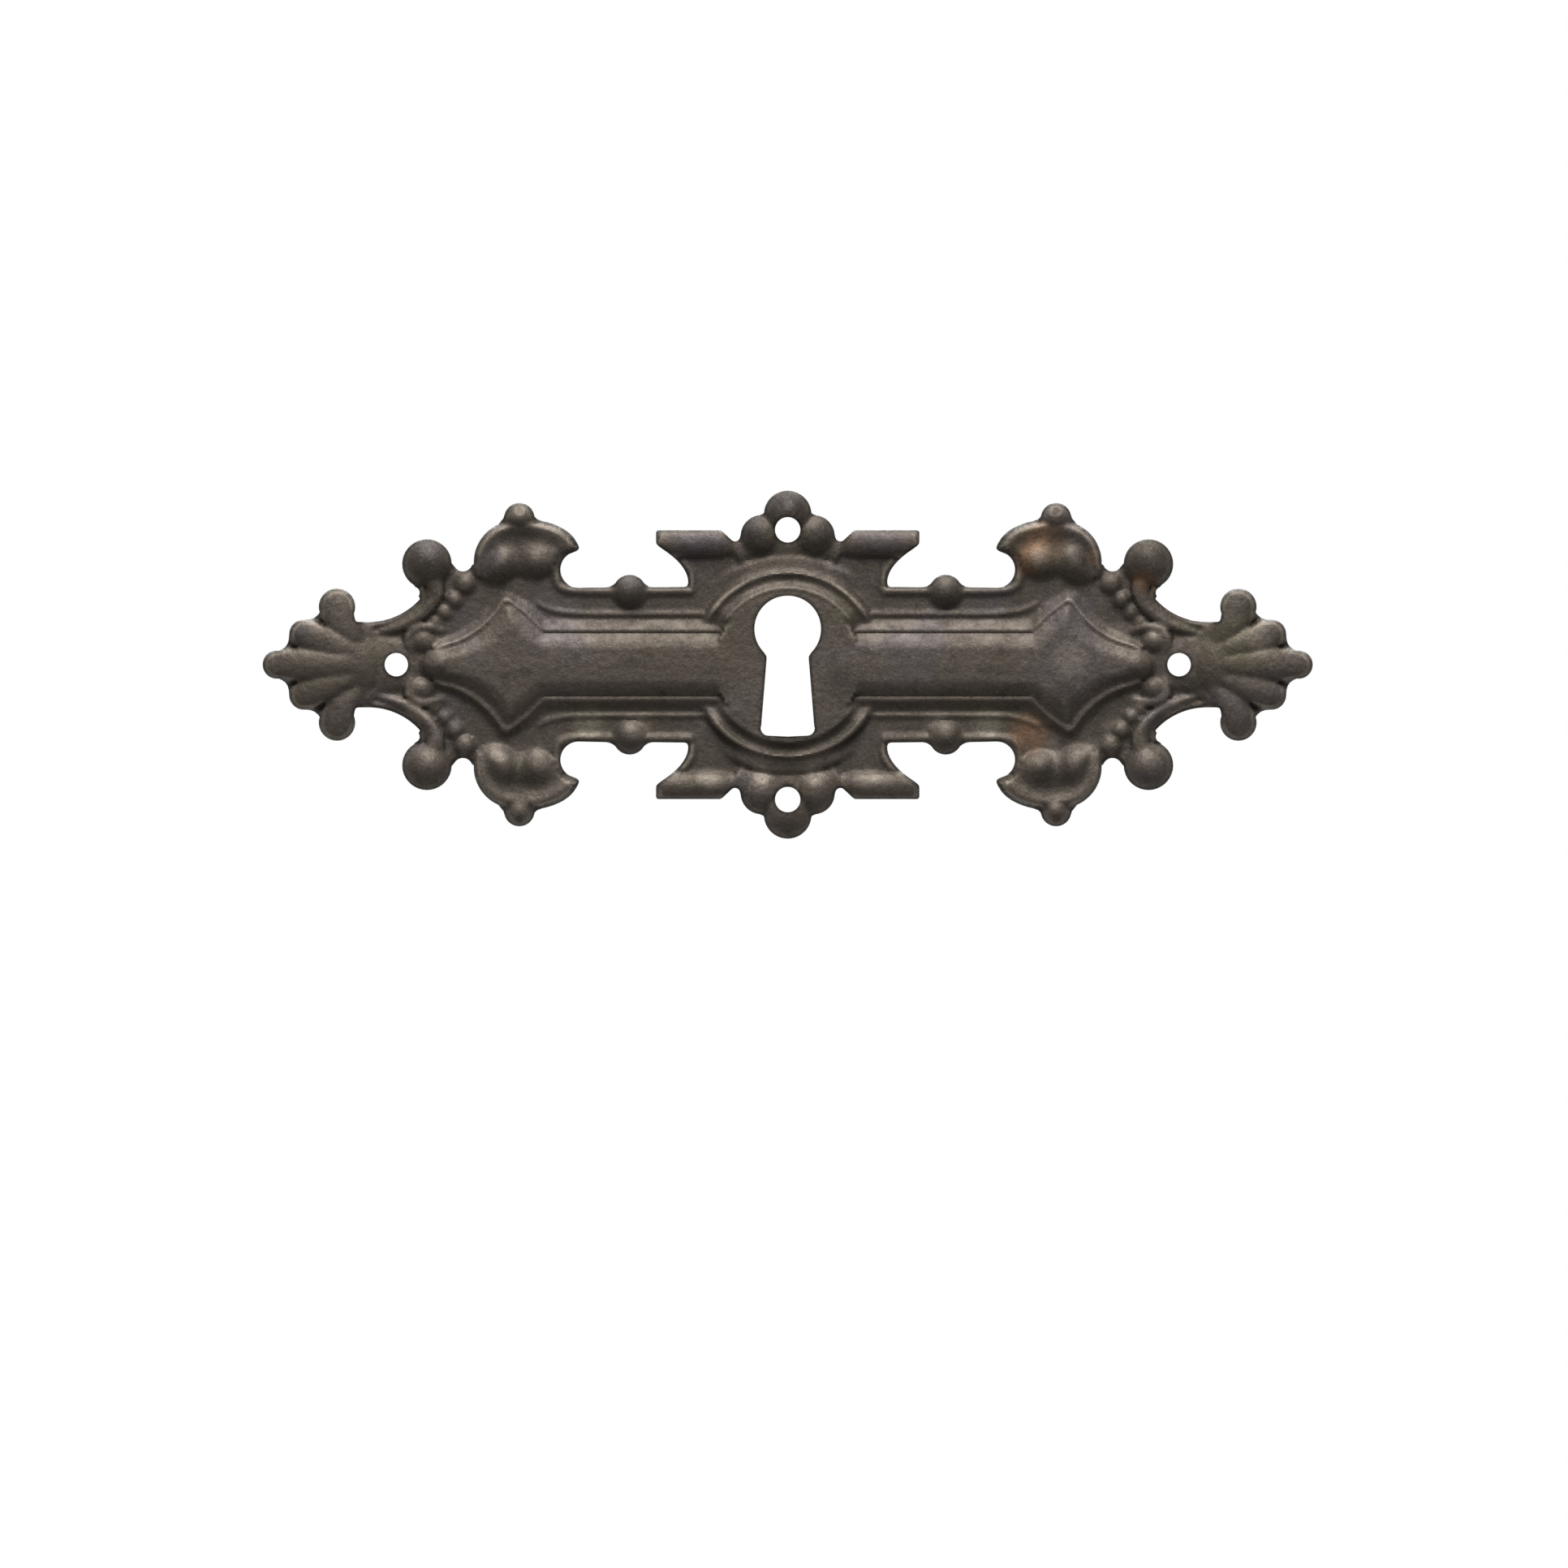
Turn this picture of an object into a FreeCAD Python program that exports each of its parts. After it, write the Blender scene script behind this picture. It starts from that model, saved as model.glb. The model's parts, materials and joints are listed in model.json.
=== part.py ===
import FreeCAD, Part
import math
import os
from FreeCAD import Vector

# Keyhole escutcheon: one plate pressed from sheet metal, in millimetres.
# Built lying on its back (x along the plate, y across it, z out of its front),
# one quarter at a time, mirrored twice, then stood up: X along the plate,
# Z up, the front facing -Y and the flat back rim in the plane Y = 0.

# Sheet, edge and rim
sheet = 0.7
back_rim = 0.95
field_height = 1.15
rim_height = 1.4
rim_width = 0.85
lobe_margin = 0.12

# Long body of the plate, with the neck that carries the keyhole
body_half = 8.0
neck_half = 10.25
neck_flare_y = 9.6
neck_field_top = 10.6

# Centre trefoil
crown_y = 15.45
crown_radius = 2.45
crown_top = 2.95
side_lobe_x = 2.65
side_lobe_y = 13.2
side_lobe_radius = 2.2
side_lobe_top = 2.8

# Anvil shaped shoulders beside the trefoil, with a half round roll on top
anvil_start = 6.9
anvil_end = 13.55
anvil_lower_y = 12.35
anvil_top_y = 13.85
anvil_bevel = 1.2
anvil_roll = 1.2
anvil_roll_drop = 0.15

# Ball on each long edge
edge_ball_x = 16.25
edge_ball_y = 7.55
edge_ball_radius = 1.7
edge_ball_top = 2.5

# Shell with its hook, finial ball, dish and two bulbs
bay_x = 21.5
bay_y = 9.72
bay_radius = 1.87
hook_y = 12.05
hook_back_x = 25.6
hook_back_y = 14.95
finial_x = 27.55
finial_y = 15.0
finial_radius = 1.6
finial_top = 2.5
shoulder_x = 28.0
shoulder_y = 10.5
shoulder_radius = 4.3
upper_bulb = (29.6, 9.8, 1.9, 2.6)
lower_bulb = (26.1, 9.9, 1.6, 2.4)

# Curl at the end of the sweep, its stem and the beads beside the stem
valley_x = 33.45
valley_y = 10.65
valley_radius = 1.0
curl_x = 37.1
curl_y = 10.35
curl_radius = 2.55
curl_top = 2.95
sweep_x = 43.1
sweep_y = 11.5
sweep_radius = 7.1
stem_inset = 1.35
stem_half = 0.65
stem_top = 2.0
stem_start = 206
stem_turn = 60
beads_inset = 2.95
beads_start = 197
bead_radii = (1.1, 1.0, 0.9)

# Palmette at each end: a hump and the petals that fan out of it
palmette_foot = 44.45
palmette_field_end = 42.6
hump = (46.1, 0.0, 3.9, 3.3)
petal_root_x = 44.0
petal_root_half = 0.55
petal_root_top = 2.5
petal_rise = 0.25
end_lobe = (46.35, 5.95, 1.9, 2.6)
second_petal = (49.7, 3.1, 1.5, 2.4)
tip_petal = (52.55, 0.0, 1.45, 2.4)

# Raised panel: a disc round the keyhole, a band along the arms and two spearheads,
# all falling to the field in two slopes with a groove between, then a small bead
panel_height = 2.6
panel_disc = 7.5
panel_half = 2.1
slope_run = 1.05
slope_drop = 0.65
groove_width = 0.3
groove_depth = 0.12
bead_gap = 0.35
bead_width = 0.5
bead_height = 0.2
spear_start = 25.4
spear_shoulder_x = 28.4
spear_shoulder_y = 4.7
spear_length = 7.2
spear_tip_half = 0.45
spear_side_sag = 0.75
spear_slope_share = 0.62

# Bud between the spearhead and the end hole
bud = (36.0, 0.0, 1.8, 2.5)
bud_side = (37.9, 2.8, 1.3, 2.1)

# Keyhole
key_circle_y = 3.67
key_circle_radius = 3.42
key_waist_y = 0.7
key_waist_half = 2.16
key_foot_y = -7.39
key_foot_half = 2.87
key_foot_corner = 0.9

# Fixing pin holes: one at each end, one in each trefoil, each in a small flat seat
end_pin_x = 40.25
end_pin_radius = 1.2
crown_pin_y = 13.87
crown_pin_radius = 1.3
seat_margin = 0.6
crown_seat_height = 2.1


def disc(x, y, radius):
    return Part.makeCylinder(radius, 1, Vector(x, y, 0))


def polygon(points):
    corners = [Vector(x, y, 0) for x, y in points]
    return Part.Face(Part.makePolygon(corners + corners[:1])).extrude(Vector(0, 0, 1))


def joined(shapes):
    return shapes[0].multiFuse(shapes[1:])


def area(solid):
    """Flat area that a solid of height 1 covers."""
    faces = [one for one in solid.removeSplitter().Faces if one.BoundBox.ZMax < 0.001]
    return Part.Face(max(faces, key=lambda one: one.Area).OuterWire)


def prism(face, bottom, top):
    return face.translated(Vector(0, 0, bottom)).extrude(Vector(0, 0, top - bottom))


def turned(points, degrees=360):
    """Solid turned about the z axis from a section given as distance and height."""
    corners = [Vector(distance, 0, height) for distance, height in points]
    face = Part.Face(Part.makePolygon(corners + corners[:1]))
    return face.revolve(Vector(0, 0, 0), Vector(0, 0, 1), degrees)


def solid_between(rings):
    """Closed solid through rings of points that match side by side."""
    faces = [Part.Face(Part.makePolygon(ring + ring[:1])) for ring in (rings[0], rings[-1])]
    for lower, upper in zip(rings, rings[1:]):
        for side in range(len(lower)):
            after = (side + 1) % len(lower)
            corners = [lower[side], lower[after], upper[after], upper[side]]
            faces.append(Part.Face(Part.makePolygon(corners + corners[:1])))
    solid = Part.Solid(Part.Shell(faces))
    if solid.Volume < 0:
        solid.reverse()
    return solid


def cap(x, y, radius, top, foot=1.0):
    """Round cap in flat facets: upright foot, a steep band, an easy band and a flat top."""
    sides = 6 if radius < 1.2 else 8 if radius < 1.8 else 10
    levels = [(radius, foot - 0.6), (radius, foot)]
    for angle in (35, 68):
        share = math.sin(math.radians(angle)) / math.sin(math.radians(68))
        levels.append((radius * math.cos(math.radians(angle)), foot + (top - foot) * share))
    rings = []
    for around, height in levels:
        turns = [2 * math.pi * side / sides for side in range(sides)]
        rings.append([Vector(x + around * math.cos(one), y + around * math.sin(one), height) for one in turns])
    return solid_between(rings)


def ridge(start, end, start_half, end_half, foot=0.6):
    """Tapered ridge between two points of its crest, with a flat back and two sloping sides."""
    across = Vector(start.y - end.y, end.x - start.x, 0).normalize()
    rings = []
    for crest, half in ((start, start_half), (end, end_half)):
        low = crest.z - half
        rings.append([
            Vector(crest.x, crest.y, foot) + across * half,
            Vector(crest.x, crest.y, low) + across * half,
            crest + across * (0.45 * half),
            crest - across * (0.45 * half),
            Vector(crest.x, crest.y, low) - across * half,
            Vector(crest.x, crest.y, foot) - across * half,
        ])
    return solid_between(rings)


# Areas of one quarter, from plain shapes that overlap

def inner_area(margin):
    """Middle of the plate, a margin inside its edge: the sunk field and the hollow behind it."""
    edge = body_half - margin
    neck = neck_half - margin
    shell_start = bay_x + bay_radius + margin
    shell_end = shoulder_x + 0.75 * (shoulder_radius - margin)
    sweep_foot = sweep_y - sweep_radius - margin
    return joined([
        polygon([(0, 0), (neck, 0), (neck, neck_field_top), (0, neck_field_top)]),
        polygon([(0, 0), (palmette_field_end, 0), (palmette_field_end, sweep_foot),
                 (sweep_x - 1.5, sweep_foot), (valley_x, edge), (0, edge)]),
        polygon([(shell_start, 0), (shell_end, 0), (shell_end, shoulder_y), (shoulder_x, hook_y),
                 (shell_start, shoulder_y)]),
    ])


def plate_area():
    lobe_x, lobe_y, lobe_r = end_lobe[:3]
    petal_x, petal_y, petal_r = second_petal[:3]
    tip_x, tip_y, tip_r = tip_petal[:3]
    body = joined([
        polygon([(0, 0), (palmette_foot, 0), (palmette_foot, body_half), (0, body_half)]),
        polygon([(bay_x, 0), (shoulder_x + shoulder_radius, 0), (shoulder_x + shoulder_radius, shoulder_y),
                 (bay_x, shoulder_y)]),
        polygon([(shoulder_x, 0), (curl_x, 0), (curl_x, curl_y), (shoulder_x, curl_y)]),
    ])
    return joined([
        body.cut(joined([
            disc(sweep_x, sweep_y, sweep_radius),
            disc(valley_x, valley_y, valley_radius),
        ])),
        disc(shoulder_x, shoulder_y, shoulder_radius),
        polygon([(0, 0), (neck_half, 0), (neck_half, neck_flare_y), (anvil_end, anvil_lower_y),
                 (anvil_end, anvil_top_y), (anvil_start, anvil_top_y),
                 (anvil_start - anvil_bevel, anvil_top_y - anvil_bevel), (side_lobe_x, side_lobe_y), (0, crown_y)]),
        disc(0, crown_y, crown_radius),
        disc(side_lobe_x, side_lobe_y, side_lobe_radius),
        disc(edge_ball_x, edge_ball_y, edge_ball_radius),
        polygon([(bay_x + bay_radius, bay_y), (shoulder_x, bay_y), (finial_x, hook_back_y),
                 (hook_back_x, hook_back_y), (hook_back_x - 2.2, hook_back_y - 0.85),
                 (bay_x + 0.4, hook_y + 0.9), (bay_x - 0.1, hook_y),
                 (bay_x + 0.2, bay_y + bay_radius)]),
        disc(finial_x, finial_y, finial_radius),
        disc(curl_x, curl_y, curl_radius),
        disc(lobe_x, lobe_y, lobe_r),
        polygon([(palmette_foot, 0), (lobe_x + lobe_r, 0), (lobe_x + lobe_r, lobe_y),
                 (palmette_foot, lobe_y)]),
        disc(petal_x, petal_y, petal_r),
        polygon([(palmette_foot, 0), (petal_x + petal_r, 0), (petal_x + petal_r, petal_y),
                 (petal_x, petal_y + petal_r), (palmette_foot, petal_y + petal_r)]),
        disc(tip_x, tip_y, tip_r),
        polygon([(palmette_foot, 0), (tip_x, 0), (tip_x, tip_r), (palmette_foot, tip_r)]),
    ]).cut(disc(bay_x, bay_y, bay_radius))


reach = tip_petal[0] + tip_petal[2] + 10
first_quarter = Part.makeBox(reach, reach, reach, Vector(0, 0, -reach / 2))

# Sections through the edge of the raised panel: distance from the panel edge, height

slopes_run = 2 * slope_run + groove_width
first_foot = panel_height - slope_drop

ring_edge = [
    (0, panel_height),
    (slope_run, first_foot),
    (slope_run + groove_width, first_foot),
    (slopes_run, field_height),
    (slopes_run, field_height / 2),
]

bead_start = slopes_run + bead_gap
band_edge = [
    (0, panel_height),
    (slope_run, first_foot),
    (slope_run + groove_width / 2, first_foot - groove_depth),
    (slope_run + groove_width, first_foot),
    (slopes_run, field_height),
    (bead_start, field_height),
    (bead_start + bead_width / 3, field_height + bead_height),
    (bead_start + bead_width * 2 / 3, field_height + bead_height),
    (bead_start + bead_width, field_height),
    (bead_start + bead_width, field_height / 2),
]

hollow_edge = [
    (-0.45 * sheet, panel_height - sheet),
    (slopes_run - 0.45 * sheet, field_height - sheet),
    (slopes_run - 0.45 * sheet, -1),
]


def ring(section):
    low = section[-1][1]
    return turned([(0, low), (0, section[0][1])] + [(panel_disc + d, z) for d, z in section])


def band(section):
    low = section[-1][1]
    points = [(0, low), (0, section[0][1])] + [(panel_half + d, z) for d, z in section]
    corners = [Vector(0, y, z) for y, z in points]
    return Part.Face(Part.makePolygon(corners + corners[:1])).extrude(Vector(spear_start + 1, 0, 0))


def spear_wire(distance, height):
    """Spearhead contour moved outward by a distance: straight shoulders, hollow sides."""
    back = Vector(spear_start - 2, panel_half, 0)
    foot = Vector(spear_start, panel_half, 0)
    shoulder = Vector(spear_shoulder_x, spear_shoulder_y, 0)
    tip = Vector(spear_shoulder_x + spear_length, spear_tip_half, 0)
    inward = Vector(shoulder.y - tip.y, tip.x - shoulder.x, 0).normalize()
    side = (shoulder + tip) * 0.5 - inward * spear_side_sag
    upper = [Part.makeLine(back, foot), Part.makeLine(foot, shoulder),
             Part.Arc(shoulder, side, tip).toShape()]
    lower = [one.mirror(Vector(0, 0, 0), Vector(0, 1, 0)) for one in upper]
    ends = [Part.makeLine(tip, Vector(tip.x, -tip.y, 0)), Part.makeLine(back, Vector(back.x, -back.y, 0))]
    face = Part.Face(Part.Wire(Part.__sortEdges__(upper + lower + ends)))
    if abs(distance) > 0.001:
        face = face.makeOffset2D(distance, 2).Faces[0]
    return face.OuterWire.translated(Vector(0, 0, height))


def spear_slope(wide, low, narrow, high, bottom):
    """One slope round the spearhead, carried on down to the bottom height."""
    deeper = wide + (wide - narrow) * (low - bottom) / (high - low)
    return Part.makeLoft([spear_wire(deeper, bottom), spear_wire(narrow, high)], True, True)


def spear_pieces():
    middle = spear_slope_share * (slope_run + groove_width)
    return [
        spear_slope(spear_slope_share * slope_run, first_foot, 0, panel_height, field_height / 2),
        spear_slope(spear_slope_share * slopes_run, field_height, middle, first_foot, field_height / 2),
    ]


def spear_hollow():
    return spear_slope(spear_slope_share * slopes_run - 0.45 * sheet, field_height - sheet,
                       -0.45 * sheet, panel_height - sheet, -0.5)


# Rounded ornament: each entry is x, y, radius and top height of a cap

def edge_caps():
    caps = [
        (0, crown_y, crown_radius, crown_top),
        (curl_x, curl_y, curl_radius, curl_top),
        (side_lobe_x, side_lobe_y, side_lobe_radius, side_lobe_top),
        (edge_ball_x, edge_ball_y, edge_ball_radius, edge_ball_top),
        (finial_x, finial_y, finial_radius, finial_top),
        end_lobe,
        second_petal,
        tip_petal,
    ]
    return [(x, y, radius - lobe_margin, top) for x, y, radius, top in caps]


def inner_caps():
    caps = [upper_bulb, lower_bulb, bud, bud_side]
    along = sweep_radius + beads_inset
    angle = math.radians(beads_start)
    for radius in bead_radii:
        x = sweep_x + along * math.cos(angle)
        y = sweep_y + along * math.sin(angle)
        caps.append((x, y, radius, field_height + 0.9 * radius))
        angle = angle + 2 * radius / along
    return caps


def petal(lobe):
    """Ridge from the root on the hump to the lobe at the edge."""
    x, y, radius, top = lobe
    return ridge(Vector(petal_root_x, 0.35 * y, petal_root_top), Vector(x, y, top + petal_rise),
                 petal_root_half, 0.8 * radius)


def stem():
    middle = sweep_radius + stem_inset
    section = [(middle - stem_half, field_height / 2), (middle - stem_half, stem_top),
               (middle + stem_half, stem_top), (middle + stem_half, field_height / 2)]
    ring = turned(section, stem_turn).rotated(Vector(0, 0, 0), Vector(0, 0, 1), stem_start)
    return ring.translated(Vector(sweep_x, sweep_y, 0))


def anvil_roll_bar():
    axis_start = Vector(anvil_start, anvil_top_y - anvil_roll_drop - anvil_roll, 1.0)
    return Part.makeCylinder(anvil_roll, anvil_end - anvil_start + 1, axis_start, Vector(1, 0, 0))


def crown_seat(height):
    return Part.makeCylinder(crown_pin_radius + seat_margin, 9, Vector(0, crown_pin_y, height))


def bores():
    return Part.makeCylinder(end_pin_radius, 14, Vector(end_pin_x, 0, -5)).fuse(
        Part.makeCylinder(crown_pin_radius, 14, Vector(0, crown_pin_y, -5)))


# Solid front of the plate, then the hollow behind it, both for one quarter

def front():
    outline = area(plate_area().common(first_quarter))
    block = prism(outline, 0, rim_height)
    block = block.cut(prism(area(inner_area(rim_width)), field_height, rim_height + 1))
    pieces = [ring(ring_edge), band(band_edge), stem()] + spear_pieces()
    pieces = pieces + [cap(*one) for one in edge_caps() + inner_caps() + [hump]]
    pieces = pieces + [petal(one) for one in (end_lobe, second_petal, tip_petal)]
    pieces = pieces + [anvil_roll_bar()]
    room = prism(outline, 0.2, 9)
    return block.multiFuse([one.common(room) for one in pieces])


def hollow():
    pieces = [prism(area(inner_area(back_rim)), -1, field_height - sheet)]
    pieces = pieces + [ring(hollow_edge), band(hollow_edge), spear_hollow()]
    pieces = pieces + [cap(x, y, radius - sheet, top - sheet, 0)
                       for x, y, radius, top in edge_caps()[:2] + [hump]]
    return joined(pieces).common(first_quarter).cut(crown_seat(crown_seat_height - sheet))


def keyhole():
    slot = polygon([(-key_foot_half, key_foot_y), (key_foot_half, key_foot_y),
                    (key_waist_half, key_waist_y), (key_waist_half, key_circle_y),
                    (-key_waist_half, key_circle_y), (-key_waist_half, key_waist_y)])
    face = area(slot.fuse(disc(0, key_circle_y, key_circle_radius)))
    smaller = face.makeOffset2D(-key_foot_corner).Faces[0]
    return prism(smaller.makeOffset2D(key_foot_corner).Faces[0], -5, 9)


quarter = front().cut(hollow()).cut(bores().fuse(crown_seat(crown_seat_height)))
half = quarter.fuse(quarter.mirror(Vector(0, 0, 0), Vector(0, 1, 0)))
plate = half.fuse(half.mirror(Vector(0, 0, 0), Vector(1, 0, 0))).removeSplitter()
plate = plate.cut(keyhole())

# Stand the plate up: front towards -Y
plate = plate.rotated(Vector(0, 0, 0), Vector(1, 0, 0), 90)

os.makedirs("parts", exist_ok=True)
plate.exportStep("parts/escutcheon_plate.step")
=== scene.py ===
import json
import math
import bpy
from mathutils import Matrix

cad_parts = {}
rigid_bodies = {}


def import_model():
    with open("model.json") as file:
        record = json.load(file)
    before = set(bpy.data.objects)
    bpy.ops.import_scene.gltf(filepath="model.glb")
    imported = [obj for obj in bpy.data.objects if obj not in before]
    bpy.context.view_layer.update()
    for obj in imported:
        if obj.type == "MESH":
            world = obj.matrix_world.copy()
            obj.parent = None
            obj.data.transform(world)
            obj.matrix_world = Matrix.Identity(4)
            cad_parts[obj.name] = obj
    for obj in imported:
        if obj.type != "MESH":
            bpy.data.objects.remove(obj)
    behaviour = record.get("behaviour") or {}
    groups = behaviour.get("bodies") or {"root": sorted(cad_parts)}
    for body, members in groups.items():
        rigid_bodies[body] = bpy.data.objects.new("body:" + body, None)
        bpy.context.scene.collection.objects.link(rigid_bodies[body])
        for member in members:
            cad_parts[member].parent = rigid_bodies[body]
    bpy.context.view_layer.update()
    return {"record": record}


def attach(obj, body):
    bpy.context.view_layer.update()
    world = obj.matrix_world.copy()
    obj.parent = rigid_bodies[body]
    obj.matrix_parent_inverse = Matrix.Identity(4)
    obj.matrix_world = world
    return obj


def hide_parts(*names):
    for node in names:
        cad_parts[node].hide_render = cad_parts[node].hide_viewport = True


bl_info = {
    "name": "Keyhole escutcheon",
    "version": (1, 0, 0),
    "blender": (4, 5, 0),
    "location": "3D View > Sidebar > Escutcheon",
    "description": "Models a pressed brass keyhole escutcheon, its patina and a plain stage",
    "category": "Add Mesh",
}

import bpy
from bpy.props import FloatProperty, FloatVectorProperty, IntProperty, PointerProperty
from mathutils.kdtree import KDTree

bpy.ops.object.select_all(action="SELECT")
bpy.ops.object.delete()
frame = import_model()

# The plate is modelled the way it is made. Rounded tools are laid out on a die, lying flat
# with x along the plate, y across it and z out of its front. A thin sheet is pressed over
# them for one quarter, mirrored, trimmed to the outline, pierced and stood up.
# Lengths in the point lists below are millimetres, and MM turns them into metres.

MM = 0.001
FIELD_LEVEL = 1.15                 # height of the sunk field, in millimetres
QUARTER = (54.6 * MM, 18.5 * MM)   # sheet for one quarter, a little past the outline
CUT_REACH = 5 * MM                 # how far the cutting tools reach past the sheet
TRACE_MERGE = 0.01 * MM            # points nearer than this are one, in an outline
MIRROR_MERGE = 0.02 * MM           # on the lines between the quarters
SLIVER_MERGE = 0.005 * MM          # along the cuts
# Painted shade: a dark seam is painted along each cut edge, as if its rounding turned away from
# the light
PAINTED_EDGE_SHADE_WIDTH = 0.5                  # width of the dark seam along a cut edge, in millimetres
TRIANGLE_LIMIT = 200000

mounts = {mount["name"]: mount["dims"] for mount in frame["record"]["mounts"]}
end_pins, trefoil_pins = mounts["end_pins"], mounts["trefoil_pins"]


# Sizes and colours

class EscutcheonSizes(bpy.types.PropertyGroup):
    """Sizes of the pressed plate."""

    sheet: FloatProperty(
        name="Sheet", description="Thickness of the pressed sheet",
        default=0.7 * MM, unit="LENGTH", subtype="DISTANCE")
    field: FloatProperty(
        name="Field", description="Height of the sunk field over the back",
        default=FIELD_LEVEL * MM, unit="LENGTH", subtype="DISTANCE")
    panel: FloatProperty(
        name="Panel", description="Height of the raised panel over the back",
        default=2.6 * MM, unit="LENGTH", subtype="DISTANCE")
    rim: FloatProperty(
        name="Rim", description="Height of the rolled rim over the back",
        default=1.5 * MM, unit="LENGTH", subtype="DISTANCE")
    step: FloatProperty(
        name="Mesh step", description="Spacing of the points of the sheet that is pressed",
        default=0.225 * MM, unit="LENGTH", subtype="DISTANCE")
    softness: IntProperty(
        name="Softness", description="Smoothing passes that round the pressed forms",
        default=3, min=0)
    end_pin_x: FloatProperty(
        name="End pins", description="Distance of the end pin holes from the centre",
        default=end_pins["spacing_x_mm"] / 2 * MM, unit="LENGTH", subtype="DISTANCE")
    end_pin_radius: FloatProperty(
        name="End pin hole", description="Radius of the end pin holes",
        default=end_pins["hole_r_mm"] * MM, unit="LENGTH", subtype="DISTANCE")
    crown_pin_y: FloatProperty(
        name="Trefoil pins", description="Distance of the trefoil pin holes from the centre",
        default=trefoil_pins["spacing_y_mm"] / 2 * MM, unit="LENGTH", subtype="DISTANCE")
    crown_pin_radius: FloatProperty(
        name="Trefoil pin hole", description="Radius of the trefoil pin holes",
        default=trefoil_pins["hole_r_mm"] * MM, unit="LENGTH", subtype="DISTANCE")


class EscutcheonColours(bpy.types.PropertyGroup):
    """Colours of the patina, of the painted light on it, and of the stage."""

    patina: FloatVectorProperty(
        name="Patina", description="Dark warm brown of the patina",
        default=(0.100, 0.081, 0.065), subtype="COLOR", size=3)
    # Deep patina, and also painted shade: its patches below the keyhole, in the ring's groove and
    # on lit tops, and the seam along the cut edges
    patina_and_painted_shade: FloatVectorProperty(
        name="Deep patina", description="Near black patina in the hollows",
        default=(0.034, 0.028, 0.022), subtype="COLOR", size=3)
    # Worn metal, and also painted highlight where its patches lie on upward-facing slopes
    wear_and_highlight: FloatVectorProperty(
        name="Wear", description="Pale worn metal on the raised lines",
        default=(0.275, 0.235, 0.192), subtype="COLOR", size=3)
    copper: FloatVectorProperty(
        name="Copper cast", description="Warm copper patches of the patina",
        default=(0.24, 0.13, 0.07), subtype="COLOR", size=3)
    olive: FloatVectorProperty(
        name="Olive cast", description="Greenish brown cast of the patina",
        default=(0.095, 0.084, 0.050), subtype="COLOR", size=3)
    # Painted reflection: this violet stands in for a cool sky reflected on the upward-facing tops
    violet_sky_reflection: FloatVectorProperty(
        name="Violet cast", description="Cool violet cast of the patina",
        default=(0.088, 0.074, 0.082), subtype="COLOR", size=3)
    floor: FloatVectorProperty(
        name="Floor", description="Plain pale floor and backdrop",
        default=(0.8, 0.8, 0.8), subtype="COLOR", size=3)


# Drawing and selecting

def deselect_all():
    if bpy.context.object and bpy.context.object.mode != "OBJECT":
        bpy.ops.object.mode_set(mode="OBJECT")
    bpy.ops.object.select_all(action="DESELECT")


def pick(*objects):
    deselect_all()
    for one in objects:
        one.select_set(True)
    bpy.context.view_layer.objects.active = objects[0]


def join(objects, name):
    pick(*objects)
    bpy.ops.object.join()
    bpy.context.object.name = name
    return bpy.context.object


def settle(piece):
    """Puts the object's place, turn and scale into its mesh."""
    pick(piece)
    bpy.ops.object.transform_apply(location=True, rotation=True, scale=True)
    return piece


def apply_modifier(piece, kind, **settings):
    pick(piece)
    modifier = piece.modifiers.new(kind.title(), kind)
    for key, value in settings.items():
        setattr(modifier, key, value)
    bpy.ops.object.modifier_apply(modifier=modifier.name)


def remove(piece):
    pick(piece)
    bpy.ops.object.delete()


def soft_step(value, low, high):
    """Share from 0 at low to 1 at high, easy at both ends."""
    share = min(1, max(0, (value - low) / (high - low)))
    return share * share * (3 - 2 * share)


def arc(x, y, radius, start, end, steps=10):
    """Points on an arc, angles in degrees."""
    turns = [math.radians(start + (end - start) * step / steps) for step in range(steps + 1)]
    return [(x + radius * math.cos(turn), y + radius * math.sin(turn)) for turn in turns]


def bow(start, pull, end, steps=8):
    """Points on a soft bend from start to end, pulled towards a point between them."""
    points = []
    for step in range(steps + 1):
        t = step / steps
        a, b, c = (1 - t) ** 2, 2 * t * (1 - t), t ** 2
        x = a * start[0] + b * pull[0] + c * end[0]
        y = a * start[1] + b * pull[1] + c * end[1]
        points.append((x, y))
    return points


def trace(points, name):
    """Chain of edges drawn point by point from one vertex. Leaves edit mode on."""
    deselect_all()
    places = [(x * MM, y * MM, 0) for x, y in points]
    bpy.ops.mesh.primitive_plane_add(size=MM, location=places[0])
    bpy.context.object.name = name
    bpy.ops.object.transform_apply(location=True)
    bpy.ops.object.mode_set(mode="EDIT")
    bpy.ops.mesh.merge(type="CENTER")
    for before, after in zip(places, places[1:]):
        step = tuple(b - a for a, b in zip(before, after))
        bpy.ops.mesh.extrude_region_move(TRANSFORM_OT_translate={"value": step})
    return bpy.context.object


def prism(points, bottom, top, name, mirrored=False):
    """Solid over a traced outline. A quarter outline is first mirrored to all four quarters."""
    piece = trace(points, name)
    if mirrored:
        for side in ((-1, 1, 1), (1, -1, 1)):
            bpy.ops.mesh.select_all(action="SELECT")
            bpy.ops.mesh.duplicate()
            bpy.ops.transform.resize(value=side, center_override=(0, 0, 0))
    bpy.ops.mesh.select_all(action="SELECT")
    bpy.ops.mesh.remove_doubles(threshold=TRACE_MERGE)
    bpy.ops.mesh.edge_face_add()
    bpy.ops.transform.translate(value=(0, 0, bottom))
    bpy.ops.mesh.extrude_region_move(TRANSFORM_OT_translate={"value": (0, 0, top - bottom)})
    bpy.ops.mesh.select_all(action="SELECT")
    bpy.ops.mesh.normals_make_consistent(inside=False)
    bpy.ops.object.mode_set(mode="OBJECT")
    return piece


# Kinds of tool on the die

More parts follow.
